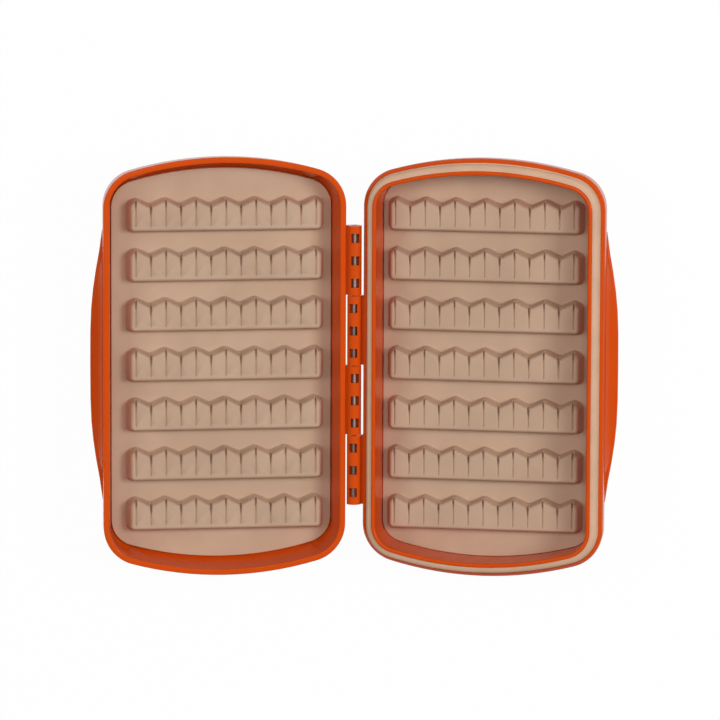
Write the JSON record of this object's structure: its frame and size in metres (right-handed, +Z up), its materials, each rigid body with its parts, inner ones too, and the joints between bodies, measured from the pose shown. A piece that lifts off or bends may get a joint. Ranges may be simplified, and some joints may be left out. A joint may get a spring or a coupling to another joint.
{
  "type": "fly box",
  "caption": "Hinged fishing fly box with arched ends, finger-grip sides, slitted silicone fly mats in both halves, a rim gasket and an interleaved pinned hinge.",
  "frame": {"origin": "on the table under the middle of the hinge, at the bottom centre of the open box", "axes": "+X along the open box from the lid towards the base, +Y along the hinge towards the far end of the box, +Z up; the open box rests on the hinge-side back edges of its two halves, which rise nine degrees from the hinge"},
  "size_m": [0.2222, 0.1774, 0.0368],
  "materials": {
    "orange_shell": "moulded satin gloss",
    "tan_silicone": "matte silicone",
    "gasket_rubber": "matte silicone",
    "pin_steel": "drawn steel, knurled at one end",
    "clear_adhesive": "double-sided film",
    "magnet_nickel": "nickel plated"
  },
  "bodies": {
    "base": {"base_shell": "orange_shell", "base_mat": "tan_silicone", "base_mat_adhesive": "clear_adhesive", "rim_gasket": "gasket_rubber", "hinge_pin": "pin_steel", "base_magnet_low": "magnet_nickel", "base_magnet_mid": "magnet_nickel", "base_magnet_top": "magnet_nickel"},
    "lid": {"lid_shell": "orange_shell", "lid_mat": "tan_silicone", "lid_mat_adhesive": "clear_adhesive", "lid_magnet_low": "magnet_nickel", "lid_magnet_mid": "magnet_nickel", "lid_magnet_top": "magnet_nickel"}
  },
  "joints": [
    {"name": "lid_hinge", "type": "hinge", "parent": "base", "child": "lid", "pos_m": [0, 0, 0.01585], "axis": [0, 1, 0], "range_deg": [0, 162]}
  ]
}
